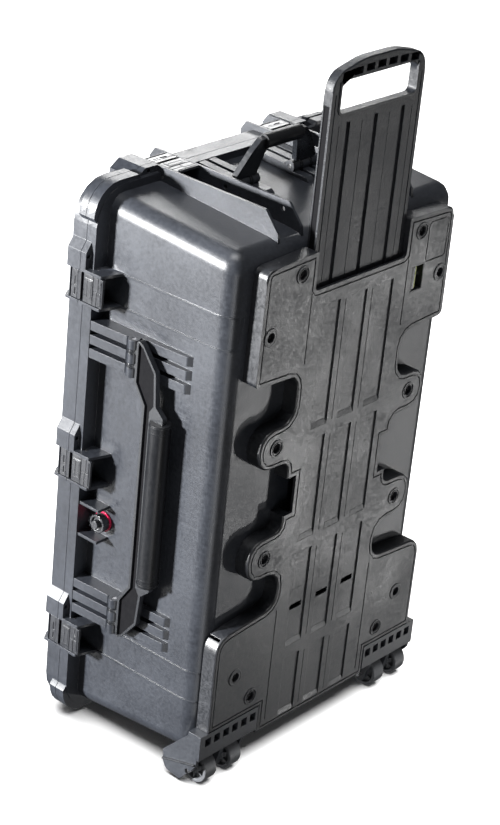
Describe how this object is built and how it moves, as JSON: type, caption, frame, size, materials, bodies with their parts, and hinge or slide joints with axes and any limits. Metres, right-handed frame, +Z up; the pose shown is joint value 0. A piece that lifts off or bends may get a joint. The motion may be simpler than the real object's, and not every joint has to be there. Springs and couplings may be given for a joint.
{
  "type": "wheeled hard equipment case",
  "caption": "Large hard plastic equipment case on wheels, with a hinged lid, double-throw latches, folding handles, a purge valve and a pull-out trolley handle.",
  "frame": {"origin": "bottom centre of the case as it stands on its wheels and feet, with the trolley handle drawn out", "axes": "+Z up along the case's length, -Y out of the trolley panel, +Y out of the lid, -X towards the latches and the side handle, +X towards the hinges"},
  "size_m": [0.518, 0.316, 0.9935],
  "materials": {
    "shell": "finely grained moulded polypropylene, near black with a cool grey sheen",
    "panel": "grained moulded plastic, a little darker than the shell",
    "trolley": "coarsely grained moulded plastic",
    "latch": "smooth satin moulded plastic",
    "handle": "satin moulded plastic",
    "grip": "soft overmoulded grip, matte",
    "seal": "matte elastomer cord",
    "steel": "plain stainless steel",
    "wheel": "hard moulded wheel, slightly scuffed",
    "valve_red": "red moulded ring",
    "release": "yellow-green moulded button"
  },
  "bodies": {
    "base": {"base_shell": "shell", "hinge_pin_lower": "steel", "hinge_pin_upper": "steel", "side_latch_upper_pin": "steel", "side_latch_middle_pin": "steel", "side_latch_lower_pin": "steel", "top_latch_left_pin": "steel", "top_latch_right_pin": "steel", "bottom_latch_left_pin": "steel", "bottom_latch_right_pin": "steel", "side_handle_pin_lower": "steel", "side_handle_pin_upper": "steel", "top_handle_pin_left": "steel", "top_handle_pin_right": "steel", "trolley_panel": "panel", "panel_screw_01": "steel", "panel_screw_02": "steel", "panel_screw_03": "steel", "panel_screw_04": "steel", "panel_screw_05": "steel", "panel_screw_06": "steel", "panel_screw_07": "steel", "panel_screw_08": "steel", "panel_screw_09": "steel", "panel_screw_10": "steel", "panel_screw_11": "steel", "panel_screw_12": "steel", "release_spring": "steel", "wheel_housing_left": "panel", "wheel_housing_right": "panel", "wheel_axle_left": "steel", "wheel_axle_right": "steel", "purge_valve_body": "latch", "purge_valve_ring": "valve_red"},
    "lid": {"lid_shell": "shell", "lid_seal": "seal"},
    "side_latch_upper_hook": {"side_latch_upper_hook": "latch"},
    "side_latch_upper_lever": {"side_latch_upper_lever": "latch"},
    "side_latch_middle_hook": {"side_latch_middle_hook": "latch"},
    "side_latch_middle_lever": {"side_latch_middle_lever": "latch"},
    "side_latch_lower_hook": {"side_latch_lower_hook": "latch"},
    "side_latch_lower_lever": {"side_latch_lower_lever": "latch"},
    "top_latch_left_hook": {"top_latch_left_hook": "latch"},
    "top_latch_left_lever": {"top_latch_left_lever": "latch"},
    "top_latch_right_hook": {"top_latch_right_hook": "latch"},
    "top_latch_right_lever": {"top_latch_right_lever": "latch"},
    "bottom_latch_left_hook": {"bottom_latch_left_hook": "latch"},
    "bottom_latch_left_lever": {"bottom_latch_left_lever": "latch"},
    "bottom_latch_right_hook": {"bottom_latch_right_hook": "latch"},
    "bottom_latch_right_lever": {"bottom_latch_right_lever": "latch"},
    "side_handle": {"side_handle": "handle", "side_handle_grip": "grip"},
    "top_handle": {"top_handle": "handle", "top_handle_grip": "grip"},
    "trolley_handle": {"trolley_handle": "trolley"},
    "release_button": {"release_button": "release"},
    "wheel_left_inner": {"wheel_left_inner": "wheel"},
    "wheel_left_outer": {"wheel_left_outer": "wheel"},
    "wheel_right_inner": {"wheel_right_inner": "wheel"},
    "wheel_right_outer": {"wheel_right_outer": "wheel"}
  },
  "joints": [
    {"name": "lid_hinge", "type": "hinge", "parent": "base", "child": "lid", "pos_m": [0.252, 0.0975, 0.403], "axis": [0, 0, -1], "range_deg": [0, 120]},
    {"name": "side_latch_upper_hook_hinge", "type": "hinge", "parent": "base", "child": "side_latch_upper_hook", "pos_m": [-0.245, 0.078, 0.6625], "axis": [0, 0, 1], "range_deg": [0, 70]},
    {"name": "side_latch_upper_lever_hinge", "type": "hinge", "parent": "side_latch_upper_hook", "child": "side_latch_upper_lever", "pos_m": [-0.2515, 0.09, 0.6625], "axis": [0, 0, -1], "range_deg": [0, 65]},
    {"name": "side_latch_middle_hook_hinge", "type": "hinge", "parent": "base", "child": "side_latch_middle_hook", "pos_m": [-0.245, 0.078, 0.403], "axis": [0, 0, 1], "range_deg": [0, 70]},
    {"name": "side_latch_middle_lever_hinge", "type": "hinge", "parent": "side_latch_middle_hook", "child": "side_latch_middle_lever", "pos_m": [-0.2515, 0.09, 0.403], "axis": [0, 0, -1], "range_deg": [0, 65]},
    {"name": "side_latch_lower_hook_hinge", "type": "hinge", "parent": "base", "child": "side_latch_lower_hook", "pos_m": [-0.245, 0.078, 0.1435], "axis": [0, 0, 1], "range_deg": [0, 70]},
    {"name": "side_latch_lower_lever_hinge", "type": "hinge", "parent": "side_latch_lower_hook", "child": "side_latch_lower_lever", "pos_m": [-0.2515, 0.09, 0.1435], "axis": [0, 0, -1], "range_deg": [0, 65]},
    {"name": "top_latch_left_hook_hinge", "type": "hinge", "parent": "base", "child": "top_latch_left_hook", "pos_m": [-0.113, 0.078, 0.789], "axis": [1, 0, 0], "range_deg": [0, 50]},
    {"name": "top_latch_left_lever_hinge", "type": "hinge", "parent": "top_latch_left_hook", "child": "top_latch_left_lever", "pos_m": [-0.113, 0.09, 0.7955], "axis": [-1, 0, 0], "range_deg": [0, 65]},
    {"name": "top_latch_right_hook_hinge", "type": "hinge", "parent": "base", "child": "top_latch_right_hook", "pos_m": [0.113, 0.078, 0.789], "axis": [1, 0, 0], "range_deg": [0, 50]},
    {"name": "top_latch_right_lever_hinge", "type": "hinge", "parent": "top_latch_right_hook", "child": "top_latch_right_lever", "pos_m": [0.113, 0.09, 0.7955], "axis": [-1, 0, 0], "range_deg": [0, 65]},
    {"name": "bottom_latch_left_hook_hinge", "type": "hinge", "parent": "base", "child": "bottom_latch_left_hook", "pos_m": [-0.113, 0.078, 0.017], "axis": [-1, 0, 0], "range_deg": [0, 50]},
    {"name": "bottom_latch_left_lever_hinge", "type": "hinge", "parent": "bottom_latch_left_hook", "child": "bottom_latch_left_lever", "pos_m": [-0.113, 0.09, 0.0105], "axis": [1, 0, 0], "range_deg": [0, 65]},
    {"name": "bottom_latch_right_hook_hinge", "type": "hinge", "parent": "base", "child": "bottom_latch_right_hook", "pos_m": [0.113, 0.078, 0.017], "axis": [-1, 0, 0], "range_deg": [0, 50]},
    {"name": "bottom_latch_right_lever_hinge", "type": "hinge", "parent": "bottom_latch_right_hook", "child": "bottom_latch_right_lever", "pos_m": [0.113, 0.09, 0.0105], "axis": [1, 0, 0], "range_deg": [0, 65]},
    {"name": "side_handle_hinge", "type": "hinge", "parent": "base", "child": "side_handle", "pos_m": [-0.244, 0.009, 0.398], "axis": [0, 0, -1], "range_deg": [0, 100]},
    {"name": "top_handle_hinge", "type": "hinge", "parent": "base", "child": "top_handle", "pos_m": [0, 0.009, 0.788], "axis": [-1, 0, 0], "range_deg": [-80, 15]},
    {"name": "trolley_slide", "type": "slide", "parent": "base", "child": "trolley_handle", "axis": [0, 0, 1], "range_m": [-0.205, 0]},
    {"name": "release_slide", "type": "slide", "parent": "base", "child": "release_button", "axis": [1, 0, 0], "range_m": [0, 0.006], "stiffness_N_per_m": 400},
    {"name": "wheel_left_inner_spin", "type": "hinge", "parent": "base", "child": "wheel_left_inner", "pos_m": [-0.158, -0.136, 0.022], "axis": [1, 0, 0], "continuous": true},
    {"name": "wheel_left_outer_spin", "type": "hinge", "parent": "base", "child": "wheel_left_outer", "pos_m": [-0.208, -0.136, 0.022], "axis": [1, 0, 0], "continuous": true},
    {"name": "wheel_right_inner_spin", "type": "hinge", "parent": "base", "child": "wheel_right_inner", "pos_m": [0.158, -0.136, 0.022], "axis": [1, 0, 0], "continuous": true},
    {"name": "wheel_right_outer_spin", "type": "hinge", "parent": "base", "child": "wheel_right_outer", "pos_m": [0.208, -0.136, 0.022], "axis": [1, 0, 0], "continuous": true}
  ]
}
